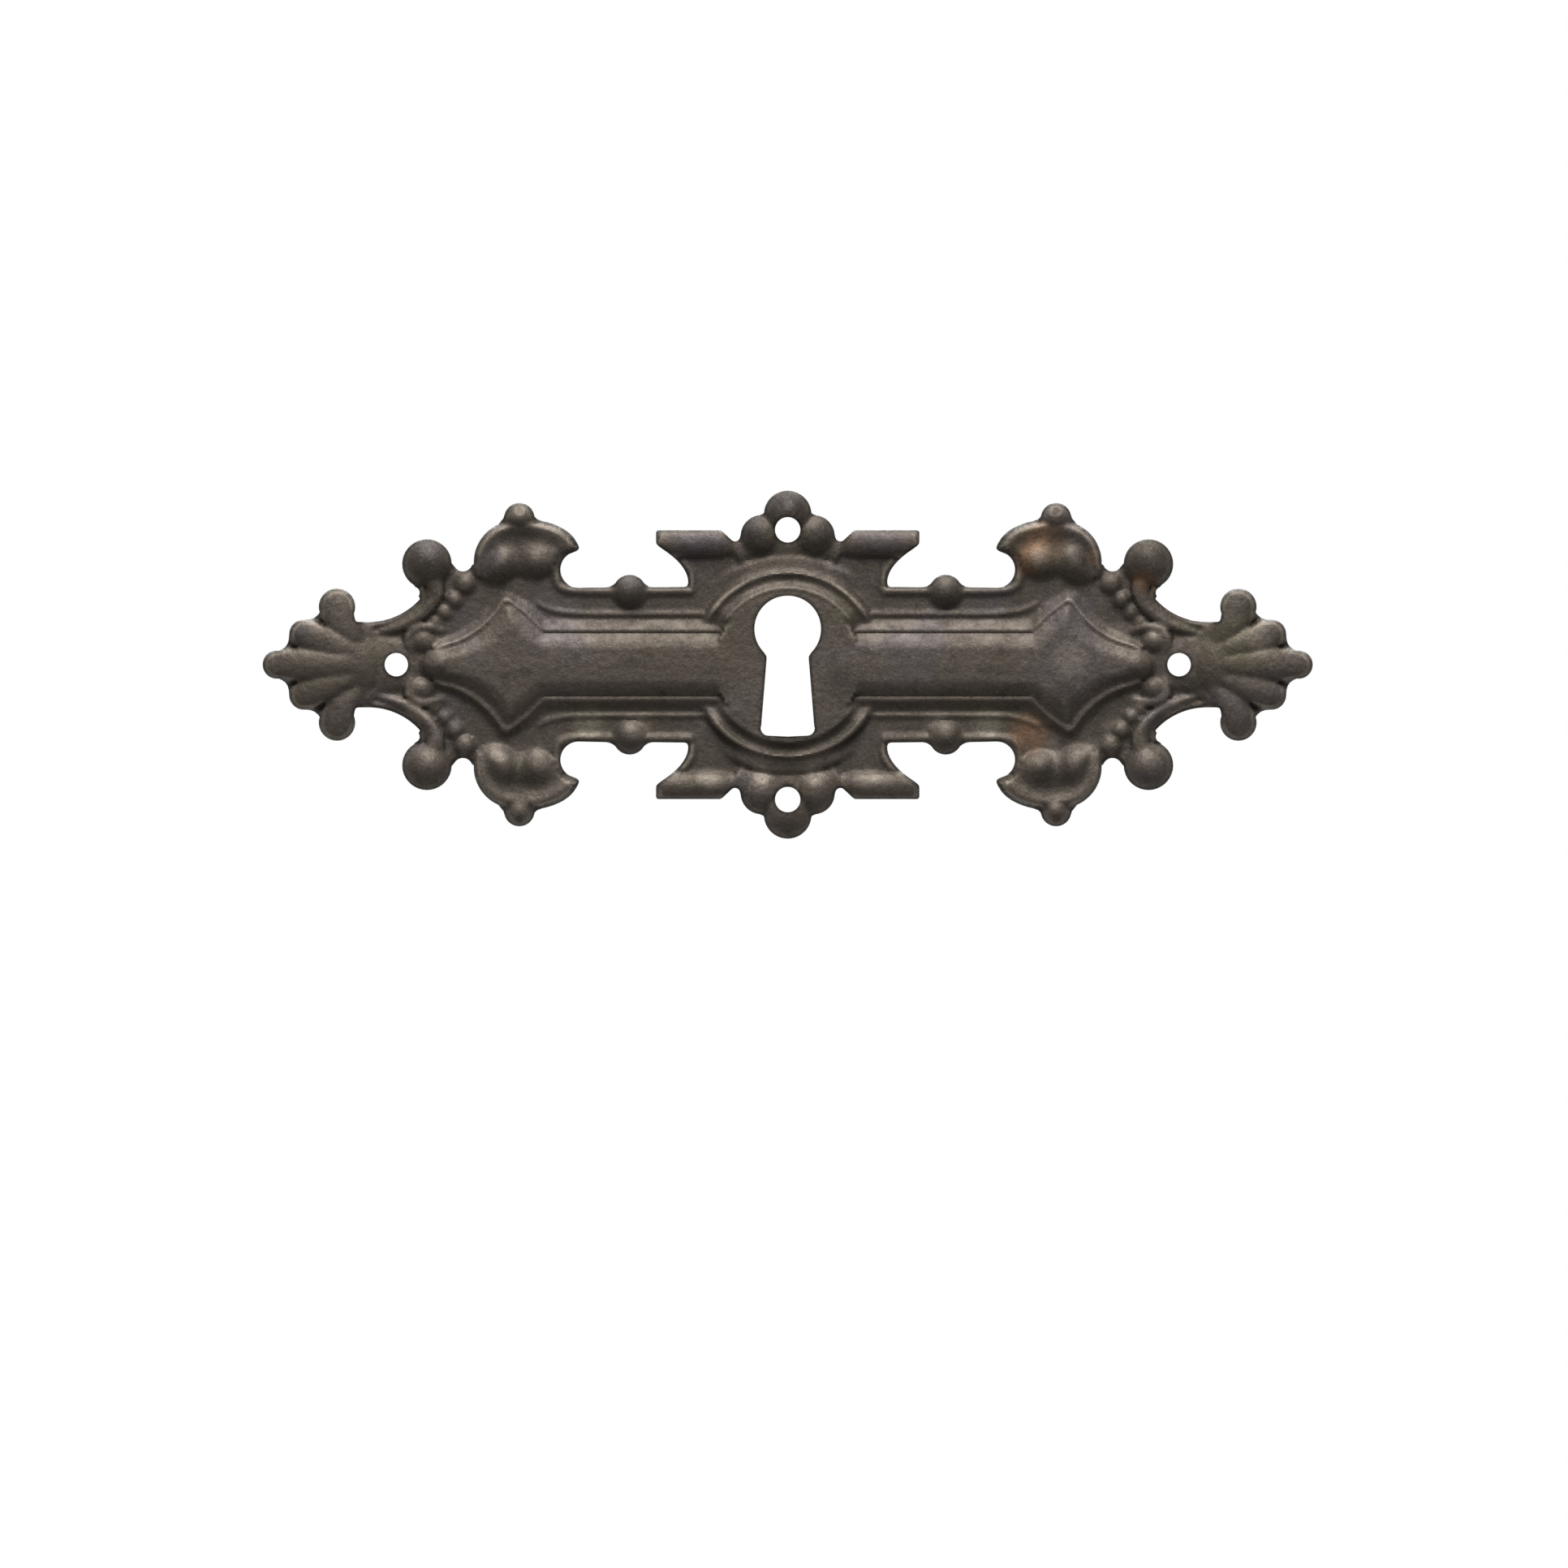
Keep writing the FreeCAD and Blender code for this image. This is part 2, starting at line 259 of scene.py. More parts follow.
def dome(x, y, radius, top, long=1.0, depth=1.2):
    """Round or egg shaped boss, long times as long as wide. Its middle lies a depth below the
    field, and the deeper it lies, the softer the boss meets the field."""
    rise = top - FIELD_LEVEL + depth
    girth = radius / math.sqrt(1 - (depth / rise) ** 2)
    deselect_all()
    bpy.ops.mesh.primitive_uv_sphere_add(segments=64, ring_count=32, radius=girth * MM,
                                         location=(x * MM, y * MM, (top - rise) * MM))
    bpy.context.object.scale = (long, 1, rise / girth)
    return settle(bpy.context.object)


def round_cap(points, squash):
    """Points that carry a ridge on past its last one to a round end."""
    (x0, y0, _, _), (x1, y1, top, half) = points[-2:]
    reach = math.dist((x0, y0), (x1, y1))
    thinnest = 0.02
    caps = []
    for degrees in (30, 55, 75, 90):
        out = half * math.sin(math.radians(degrees)) / reach
        left = max(thinnest, half * math.cos(math.radians(degrees)))
        x, y = x1 + (x1 - x0) * out, y1 + (y1 - y0) * out
        caps.append((x, y, top + (left - half) * squash, left))
    return caps


def ridge(points, squash=1.0, round_end=False):
    """Rounded ridge along points given as x, y, height of the crest and half width."""
    if round_end:
        points = points + round_cap(points, squash)
    deselect_all()
    bpy.ops.curve.primitive_nurbs_path_add(radius=MM)
    line = bpy.context.object
    line.data.splines.clear()
    spline = line.data.splines.new("NURBS")
    spline.points.add(len(points) - 1)
    for point, (x, y, top, half) in zip(spline.points, points):
        point.co = (x * MM, y * MM, (top / squash - half) * MM, 1)
        point.radius = half
    spline.order_u = 3
    spline.use_endpoint_u = True
    spline.resolution_u = 8
    line.data.bevel_depth = MM
    line.data.bevel_resolution = 6
    line.data.use_fill_caps = True
    settle(line)
    bpy.ops.object.convert(target="MESH")
    bpy.ops.object.mode_set(mode="EDIT")
    bpy.ops.mesh.select_all(action="SELECT")
    bpy.ops.transform.resize(value=(1, 1, squash), center_override=(0, 0, 0))
    bpy.ops.object.mode_set(mode="OBJECT")
    return line


def moulding(rows, rounded=False):
    """Surface of a moulding through rows of points that match one to one."""
    deselect_all()
    bpy.ops.mesh.primitive_grid_add(x_subdivisions=len(rows[0]) - 1,
                                    y_subdivisions=len(rows) - 1, size=MM)
    strip = bpy.context.object
    places = [place for row in rows for place in row]
    for vertex, place in zip(strip.data.vertices, places):
        vertex.co = [length * MM for length in place]
    if rounded:
        apply_modifier(strip, "SUBSURF", levels=3, render_levels=3)
    return strip


def dent(x, y, radius, bottom):
    """Ball that presses a round dent down to its bottom."""
    deselect_all()
    bpy.ops.mesh.primitive_uv_sphere_add(segments=32, ring_count=16, radius=radius * MM,
                                         location=(x * MM, y * MM, (bottom + radius) * MM))
    return settle(bpy.context.object)


# Outlines

def quarter_outline():
    """One quarter of the plate, from the top of the trefoil to the tip of the palmette."""
    trefoil = arc(0, 15.45, 2.45, 90, 6) + [(2.5, 15.55)] + arc(2.65, 13.2, 2.2, 84, 4, 12)
    anvil = arc(5.42, 13.2, 0.52, 195, 318, 6)
    anvil += [(6.7, 13.7), (6.95, 13.83), (13.3, 13.83), (13.48, 13.75), (13.55, 13.55)]
    anvil += [(13.55, 12.65), (13.5, 12.42), (13.3, 12.2)]
    anvil += bow((12.9, 11.9), (10.45, 10.3), (10.25, 8.7), 8)
    long_edge = [(10.25, 8.35), (10.35, 8.12), (10.6, 8.02), (13.9, 7.98), (14.3, 8.07)]
    long_edge += [(14.6, 8.25)] + arc(16.25, 7.55, 1.7, 150, 30, 12)
    long_edge += [(17.95, 8.22), (18.3, 8.05), (18.7, 7.97)]
    shell = arc(21.5, 9.78, 1.87, -90, 58, 16)
    shell += [(22.1, 11.52), (21.72, 11.68), (21.5, 11.85), (21.46, 12.1), (21.58, 12.4)]
    shell += [(21.95, 13.0)] + bow((22.2, 13.3), (23.2, 14.35), (25.3, 14.8), 6)
    shell += [(25.75, 14.97), (26.0, 15.2)] + arc(27.6, 15.05, 1.58, 168, 12, 12)
    shell += [(29.25, 15.05), (29.5, 14.75)] + arc(28.0, 10.5, 4.3, 66, -2, 14)
    curl = arc(33.4, 10.6, 1.0, 200, 330, 8) + arc(37.1, 10.35, 2.55, 178, -58, 24)
    curl += arc(38.45, 7.4, 0.6, 105, 215, 6) + arc(43.1, 11.5, 7.1, 222, 269, 14)
    palmette = [(44.15, 4.4), (44.4, 4.47), (44.52, 4.75)]
    palmette += arc(46.35, 5.95, 1.88, 202, -18, 20) + [(48.3, 5.15), (48.65, 4.85), (49.1, 4.68)]
    palmette += arc(49.75, 3.12, 1.52, 94, 4, 10)
    palmette += [(51.32, 2.6), (51.42, 2.2), (51.65, 1.85), (52.0, 1.6)]
    palmette += arc(52.55, 0, 1.45, 98, 0, 10)
    return trefoil + anvil + long_edge + shell + curl + palmette


def keyhole_outline():
    """Round part of the keyhole, and the slot that widens below it to a flat foot."""
    points = arc(0, 3.67, 3.42, -35, 215, 40)
    points += [(-2.35, 1.15), (-2.17, 0.85), (-2.16, 0.6)]
    points += [(-2.72, -6.3)] + arc(-1.98, -6.5, 0.8, 180, 265, 6)
    points += [(0, -7.39)]
    points += arc(1.98, -6.5, 0.8, -85, 0, 6) + [(2.72, -6.3)]
    points += [(2.16, 0.6), (2.17, 0.85), (2.35, 1.15)]
    return points + points[:1]


# Raised tools of the die for one quarter

def trefoil_tools():
    """Crown and side ball of the trefoil, on a low ridge, with the valley's fold beside them."""
    return [
        dome(0, 15.5, 2.55, 3.05, depth=1.6),
        dome(2.75, 13.15, 2.3, 2.6, depth=1.6),
        ridge([(0, 12.7, 1.9, 2.0), (1.6, 12.5, 1.85, 1.9), (3.3, 12.2, 1.8, 1.7),
               (5.4, 12.1, 1.65, 1.2)], 0.4),
        ridge([(4.4, 10.6, 1.3, 0.6), (5.1, 11.5, 1.95, 0.5), (5.5, 12.6, 1.6, 0.4)], 0.9),
    ]


def anvil_tools():
    """Half round roll on top of the shoulder, and the rim of its hollow side."""
    return [
        ridge([(5.4, 12.0, 1.5, 1.0), (6.3, 12.4, 1.95, 1.3), (7.4, 12.5, 2.3, 1.45),
               (10.5, 12.5, 2.35, 1.45), (12.6, 12.55, 2.35, 1.45), (13.3, 12.7, 2.0, 1.2)], 0.8),
        ridge([(9.8, 7.4, 1.35, 0.4), (9.75, 8.8, 1.45, 0.45), (9.95, 9.8, 1.45, 0.45),
               (10.9, 10.9, 1.4, 0.45)], 0.8),
    ]


def ring_tool(panel):
    """Mouldings of the ring above the keyhole. They sink away where those of the arm take over,
    and the outermost one runs only below the trefoil."""
    base, outermost = 1.0, 10
    profile = [
        (7.15, panel), (7.5, panel - 0.15), (7.85, panel + 0.12), (8.15, panel - 0.2),
        (8.5, panel - 0.6), (9.0, panel - 0.62), (9.45, panel - 0.2), (9.75, panel - 0.55),
        (10.1, 1.98), (10.6, 1.93), (11.1, 1.88), (11.4, 1.4),
    ]
    rows = []
    for radius, height in profile:
        row = []
        for degrees in range(22, 94, 2):
            rise = height - base
            if radius > outermost:
                rise *= soft_step(degrees, 40, 75)
            rise *= 0.35 + 0.65 * soft_step(degrees, 24, 40)
            turn = math.radians(degrees)
            row.append((radius * math.cos(turn), radius * math.sin(turn), base + rise))
        rows.append(row)
    return moulding(rows)


def keyhole_tool(panel):
    """Flat disc that the keyhole is cut in, level with the panel of the arm."""
    deselect_all()
    bpy.ops.mesh.primitive_cylinder_add(vertices=96, radius=7.5 * MM, depth=panel * MM,
                                        location=(0, 0, panel * MM / 2))
    return settle(bpy.context.object)


def spear_contour(height, half, neck, shoulder, corner, start, pull, end, tip):
    """Contour of the panel at a height: straight along the arm, half of its width from the
    middle, out from the neck to the corner of the spearhead, and in a hollow bend to the tip."""
    places = [(5, half), (16, half), (neck, half), shoulder, corner]
    places += bow(start, pull, end, 7) + [tip]
    return [(x, y, height) for x, y in places]


def panel_tool(panel, field):
    """Raised panel of the arm and its spearhead, with both slopes and the groove between."""
    crown = panel + 0.05
    middle = [(x, 0, crown) for x in (5, 16, 25.4, 27, 28.4)]
    middle += [(28.4 + step * 0.8, 0, crown) for step in range(1, 9)] + [(35.8, 0, crown)]
    edge = spear_contour(
        panel, 1.75, 25.6, (27.2, 3.1), (28.4, 4.3),
        (28.6, 4.25), (30.4, 1.25), (34.7, 0.75), (35.7, 0.45))
    brow = spear_contour(
        panel - 0.25, 2.45, 25.35, (27.05, 3.95), (28.5, 5.2),
        (28.8, 5.15), (30.8, 1.75), (34.95, 1.15), (35.9, 0.75))
    first_foot = spear_contour(
        panel - 0.64, 3.08, 25.2, (27.0, 4.7), (28.65, 6.0),
        (28.95, 5.9), (31.2, 2.2), (35.2, 1.5), (36.2, 1.1))
    groove = spear_contour(
        panel - 0.88, 3.26, 25.15, (26.95, 4.9), (28.7, 6.25),
        (29.05, 6.1), (31.35, 2.4), (35.3, 1.65), (36.25, 1.2))
    second_top = spear_contour(
        panel - 0.58, 3.5, 25.1, (26.9, 5.2), (28.78, 6.7),
        (29.25, 6.5), (31.65, 2.8), (35.5, 2.0), (36.35, 1.5))
    cove = spear_contour(
        panel - 1.08, 4.15, 25.0, (26.8, 5.85), (28.8, 7.2),
        (29.5, 6.95), (31.9, 3.1), (35.6, 2.3), (36.6, 1.8))
    second_foot = spear_contour(
        field - 0.05, 4.8, 24.85, (26.6, 6.6), (28.8, 7.7),
        (29.85, 7.4), (32.15, 3.5), (35.75, 2.6), (36.9, 2.1))
    return moulding([middle, edge, brow, first_foot, groove, second_top, cove, second_foot])


def arm_tools(panel, field, rim):
    """Panel, the fine line beside it, the rolled rim of the long edge and its ball."""
    return [
        panel_tool(panel, field),
        ridge([(8.6, 5.2, field + 0.25, 0.32), (16, 5.2, field + 0.28, 0.32),
               (24.4, 5.2, field + 0.25, 0.32), (25.8, 6.4, field + 0.15, 0.3)], 0.8),
        ridge([(9.8, 7.56, rim, 0.5), (16, 7.56, rim, 0.5), (22.4, 7.5, rim, 0.5),
               (23.7, 8.1, rim, 0.5), (23.95, 9.5, rim, 0.5), (23.4, 11.2, rim, 0.5)], 0.85),
        dome(16.25, 7.5, 1.8, 2.35, depth=1.6),
    ]


def shell_tools():
    """Scallop shell: a crest along its edge, a dish, and two lobes that swell out of the dish."""
    outer = [(21.75, 12.1, 1.6), (22.5, 13.2, 1.7), (23.7, 14.05, 1.75), (25.4, 14.6, 1.75),
             (27.6, 14.85, 1.75), (29.8, 14.4, 1.75), (31.3, 13.3, 1.75), (32.1, 11.9, 1.7),
             (32.3, 10.4, 1.6), (32.1, 8.8, 1.3)]
    crest = [(22.2, 12.05, 1.95), (22.9, 12.95, 2.2), (24.0, 13.7, 2.35), (25.6, 14.2, 2.4),
             (27.6, 14.45, 2.4), (29.5, 14.0, 2.4), (30.9, 13.0, 2.35), (31.65, 11.7, 2.25),
             (31.85, 10.4, 2.1), (31.7, 9.0, 1.7)]
    dish = [(23.4, 11.6, 1.7), (23.9, 12.0, 1.65), (24.8, 12.5, 1.6), (26.1, 12.8, 1.55),
            (27.6, 12.95, 1.55), (29.0, 12.7, 1.55), (30.0, 12.2, 1.6), (30.7, 11.3, 1.7),
            (31.0, 10.3, 1.75), (31.1, 9.2, 1.55)]
    swell = [(23.9, 10.8, 1.9), (24.6, 11.0, 2.25), (25.4, 11.2, 2.6), (26.4, 11.3, 2.7),
             (27.7, 11.2, 1.85), (28.8, 11.2, 2.7), (29.6, 11.0, 2.8), (30.2, 10.5, 2.6),
             (30.6, 10.1, 2.2), (30.9, 9.7, 1.9)]
    belly = [(24.1, 10.0, 1.8), (24.8, 9.9, 2.2), (25.6, 9.9, 2.6), (26.5, 9.95, 2.55),
             (27.7, 9.9, 1.5), (28.7, 9.7, 2.55), (29.6, 9.5, 2.65), (30.3, 9.4, 2.4),
             (30.8, 9.3, 2.1), (31.2, 9.2, 1.8)]
    foot = [(24.2, 9.2, 0.9), (24.9, 8.7, 0.9), (25.8, 8.4, 0.9), (26.8, 8.5, 0.9),
            (27.8, 8.9, 0.9), (28.6, 8.3, 0.9), (29.5, 7.9, 0.9), (30.4, 7.8, 0.9),
            (31.2, 8.0, 0.9), (31.9, 8.3, 0.9)]
    return [
        moulding([outer, crest, dish, swell, belly, foot], rounded=True),
        dome(27.6, 15.1, 1.6, 2.5),
    ]


def curl_tools():
    """Ball of the curl, its stem, the finer stem inside it, and the row of beads."""
    beads = [dome(x, y, radius, top, depth=0.7) for x, y, radius, top in (
        (33.2, 8.3, 1.15, 1.85), (34.3, 6.7, 1.0, 1.75), (35.3, 5.4, 0.9, 1.65),
        (36.25, 4.35, 0.8, 1.55))]
    return beads + [
        dome(37.1, 10.55, 2.55, 3.0, depth=1.6),
        ridge([(36.9, 10.2, 2.2, 1.2), (36.5, 8.8, 2.15, 1.0), (36.15, 7.4, 2.05, 0.8),
               (36.8, 6.0, 2.0, 0.7), (38.2, 4.75, 1.9, 0.6), (40.0, 3.8, 1.75, 0.5),
               (42.0, 3.3, 1.4, 0.4)], 0.75),
        ridge([(37.9, 8.0, 1.6, 0.5), (37.35, 6.9, 1.55, 0.45), (38.3, 5.9, 1.5, 0.42),
               (39.6, 5.0, 1.45, 0.4), (41.3, 4.25, 1.4, 0.38), (43.4, 4.0, 1.4, 0.38),
               (44.4, 4.0, 1.4, 0.38)], 0.8),
    ]


def bud_tools():
    """Bud at the tip of the spearhead, and the hooked leaf that curls round a small ball."""
    return [
        dome(35.7, 0, 1.75, 2.8, 1.25),
        dome(37.7, 2.5, 1.3, 2.0, 1.1, depth=0.6),
        ridge([(35.4, 3.5, 1.4, 0.45), (36.9, 4.0, 1.75, 0.5), (38.5, 3.7, 1.95, 0.52),
               (39.2, 2.5, 1.85, 0.5), (38.7, 1.3, 1.65, 0.42)], 0.8),
    ]


def palmette_tools():
    """Palm leaf on its rounded neck: a low swelling that runs out into petals with round ends."""
    return [
        ridge([(37.8, 0, 1.2, 2.4), (39.4, 0, 1.6, 2.9), (41.4, 0, 1.75, 3.4),
               (43.4, 0, 1.8, 3.6), (45.0, 0, 1.8, 3.4)], 0.26),
        dome(45.8, 0, 4.3, 2.8, 1.08, depth=3.5),
        ridge([(42.6, 0, 1.3, 0.7), (44.6, 0, 2.8, 1.05), (47.0, 0, 3.2, 1.35),
               (49.6, 0, 2.9, 1.75), (52.0, 0, 2.3, 1.6), (52.5, 0, 2.25, 1.5)],
              0.42, round_end=True),
        ridge([(42.9, 0.5, 1.4, 0.6), (44.7, 1.1, 2.6, 0.95), (46.8, 1.95, 3.05, 1.3),
               (48.8, 2.8, 2.75, 1.6), (49.7, 3.1, 2.45, 1.6)], 0.45, round_end=True),
        ridge([(42.9, 0.9, 1.4, 0.8), (44.4, 2.2, 2.15, 1.25), (45.6, 3.6, 2.7, 1.65),
               (46.2, 5.2, 2.6, 1.85), (46.35, 5.95, 2.45, 1.9)], 0.5, round_end=True),
        ridge([(41.6, 1.5, 1.2, 0.9), (43.0, 2.6, 1.6, 1.2), (44.6, 3.6, 1.9, 1.3),
               (45.8, 4.8, 2.0, 1.4)], 0.4),
    ]


# Pressing, trimming and piercing

def quarter_die(sizes):
    """All tools of one quarter as one mesh, on a base and a floor that catch the sheet."""
    panel, field, rim = sizes.panel / MM, sizes.field / MM, sizes.rim / MM
    base_bottom, floor_size, floor_level = 0.2 * MM, 0.3, 0.5 * MM
    corners = [(0, 0)] + quarter_outline() + [(0, 0)]
    tools = [prism(corners, base_bottom, sizes.field, "base_tool")]
    tools += trefoil_tools() + anvil_tools() + [ring_tool(panel), keyhole_tool(panel)]
    tools += arm_tools(panel, field, rim) + shell_tools() + curl_tools()
    tools += bud_tools() + palmette_tools()
    deselect_all()
    bpy.ops.mesh.primitive_plane_add(size=floor_size, location=(0, 0, floor_level))
    tools.append(settle(bpy.context.object))
    return join(tools, "die")


def press(sheet, tool):
    """Lets the sheet down on a tool, straight down. What lies beside the tool stays."""
    apply_modifier(sheet, "SHRINKWRAP", target=tool, wrap_method="PROJECT", use_project_z=True,
                   use_negative_direction=True, use_positive_direction=False)
    remove(tool)


def smooth_heights(sheet, passes):
    """Softens the relief. Points move up and down only, so the grid stays even."""
    apply_modifier(sheet, "SMOOTH", factor=0.5, iterations=passes, use_x=False, use_y=False)


def press_quarter(sizes):
    """Sheet pressed over the die of one quarter."""
    die = quarter_die(sizes)
    length, width = QUARTER
    above_die = 10 * MM
    along, across = 1.1 * sizes.step, 0.9 * sizes.step
    bpy.ops.mesh.primitive_grid_add(
        x_subdivisions=round(length / along), y_subdivisions=round(width / across), size=1,
        location=(length / 2, width / 2, above_die))
    bpy.context.object.scale = (length, width, 1)
    sheet = settle(bpy.context.object)
    press(sheet, die)
    press(sheet, dent(27.6, 16.1, 0.6, 1.95))
    smooth_heights(sheet, sizes.softness)
    return sheet


def thick(sheet, depth):
    """Gives the sheet its thickness, with a softer back than front."""
    pick(sheet)
    bpy.ops.object.mode_set(mode="EDIT")
    bpy.ops.mesh.select_all(action="SELECT")
    bpy.ops.mesh.extrude_region_move(TRANSFORM_OT_translate={"value": (0, 0, -depth)})
    bpy.ops.mesh.vertices_smooth(factor=0.5, repeat=2, wait_for_input=False)
    bpy.ops.mesh.select_all(action="SELECT")
    bpy.ops.mesh.normals_make_consistent(inside=False)
    bpy.ops.object.mode_set(mode="OBJECT")


def combine(piece, tool, operation):
    """Cuts the piece with a tool, or to it, and uses the tool up."""
    apply_modifier(piece, "BOOLEAN", object=tool, operation=operation, solver="MANIFOLD")
    remove(tool)


def punch_holes(plate, sizes):
    """Punches the keyhole and the four pin holes."""
    combine(plate, prism(keyhole_outline(), -MM, CUT_REACH, "keyhole_punch"), "DIFFERENCE")
    end, end_radius = sizes.end_pin_x, sizes.end_pin_radius
    crown, crown_radius = sizes.crown_pin_y, sizes.crown_pin_radius
    for x, y, radius in ((end, 0, end_radius), (-end, 0, end_radius),
                         (0, crown, crown_radius), (0, -crown, crown_radius)):
        deselect_all()
        bpy.ops.mesh.primitive_cylinder_add(vertices=48, radius=radius, depth=12 * MM,
                                            location=(x, y, 0))
        combine(plate, settle(bpy.context.object), "DIFFERENCE")


def merge_slivers(piece):
    """Merges the points that the cuts leave closer together than the sliver length."""
    pick(piece)
    bpy.ops.object.mode_set(mode="EDIT")
    bpy.ops.mesh.select_mode(type="VERT")
    bpy.ops.mesh.select_all(action="SELECT")
    bpy.ops.mesh.remove_doubles(threshold=SLIVER_MERGE)
    bpy.ops.object.mode_set(mode="OBJECT")


def stand_up(plate):
    """Turns the plate from lying on its back to upright, with its front to -Y."""
    pick(plate)
    bpy.ops.object.mode_set(mode="EDIT")
    bpy.ops.mesh.select_all(action="SELECT")
    bpy.ops.transform.rotate(value=-math.pi / 2, orient_axis="X", center_override=(0, 0, 0))
    bpy.ops.object.mode_set(mode="OBJECT")


class Relief:
    """Heights of the pressed quarter, and how far each point stands over the sheet around it."""

    def __init__(self, quarter):
        on_first_row = 1e-7
        vertices = quarter.data.vertices
        self.columns = sum(1 for vertex in vertices if vertex.co.y < on_first_row)
        self.rows = len(vertices) // self.columns
        self.heights = [vertex.co.z for vertex in vertices]
        pick(quarter)
        bpy.ops.object.duplicate()
        worn = bpy.context.object
        smooth_heights(worn, 6)
        self.crests = [height - vertex.co.z
                       for height, vertex in zip(self.heights, worn.data.vertices)]
        remove(worn)

    def at(self, values, x, y):
        """Value at a place of the plate, blended from the four points of the grid round it."""
        last = 0.999
        across = min(abs(x) / QUARTER[0], last) * (self.columns - 1)
        up = min(abs(y) / QUARTER[1], last) * (self.rows - 1)
        column, row = int(across), int(up)
        right, top = across - column, up - row
        first = row * self.columns + column
        second = first + self.columns
        below = values[first] * (1 - right) + values[first + 1] * right
        above = values[second] * (1 - right) + values[second + 1] * right
        return below * (1 - top) + above * top


def note_wear_and_edge_shade(plate, relief, sheet):
    """Stores where the relief stands proud, in millimetres, and how near a cut edge is, for the
    painted shade along the cut edges. What stands proud in front is a hollow behind."""
    mesh = plate.data
    upright = 0.02
    walls = [face for face in mesh.polygons if abs(face.normal.z) < upright]
    cut = {index for face in walls for index in face.vertices}
    tree = KDTree(len(cut))
    for index in cut:
        x, y, _ = mesh.vertices[index].co
        tree.insert((x, y, 0), index)
    tree.balance()
    crest = mesh.attributes.new("crest", "FLOAT", "POINT")
    painted_edge_shade = mesh.attributes.new("painted_edge_shade", "FLOAT", "POINT")
    for vertex in mesh.vertices:
        x, y, z = vertex.co
        proud = relief.at(relief.crests, x, y) / MM
        behind = z < relief.at(relief.heights, x, y) - sheet / 2
        from_cut = tree.find((x, y, 0))[2] / MM
        crest.data[vertex.index].value = -proud if behind else proud
        painted_edge_shade.data[vertex.index].value = max(0, 1 - from_cut / PAINTED_EDGE_SHADE_WIDTH)


class ESCUTCHEON_OT_plate(bpy.types.Operator):
    """Press the plate over its die, trim it to the outline and pierce it"""

    bl_idname = "escutcheon.plate"
    bl_label = "Pressed plate"
    bl_options = {"REGISTER", "UNDO"}

    def execute(self, context):
        sizes = context.scene.escutcheon_sizes
        plate = press_quarter(sizes)
        plate.name = "pressed_plate"
        relief = Relief(plate)
        apply_modifier(plate, "MIRROR", use_axis=(True, True, False), use_mirror_merge=True,
                       merge_threshold=MIRROR_MERGE)
        thick(plate, sizes.sheet)
        trim = prism(quarter_outline(), 0, CUT_REACH, "trim", mirrored=True)
        combine(plate, trim, "INTERSECT")
        punch_holes(plate, sizes)
        merge_slivers(plate)
        note_wear_and_edge_shade(plate, relief, sizes.sheet)
        stand_up(plate)
        bpy.ops.object.shade_smooth_by_angle(angle=math.radians(50))
        plate.data.materials.clear()
        plate.data.materials.append(patina(context.scene.escutcheon_colours))
        plate.data.calc_loop_triangles()
        triangles = len(plate.data.loop_triangles)
        if triangles >= TRIANGLE_LIMIT:
            raise RuntimeError(f"the plate has {triangles} triangles: take a wider mesh step")
        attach(plate, "root")
        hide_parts("escutcheon_plate")
        return {"FINISHED"}
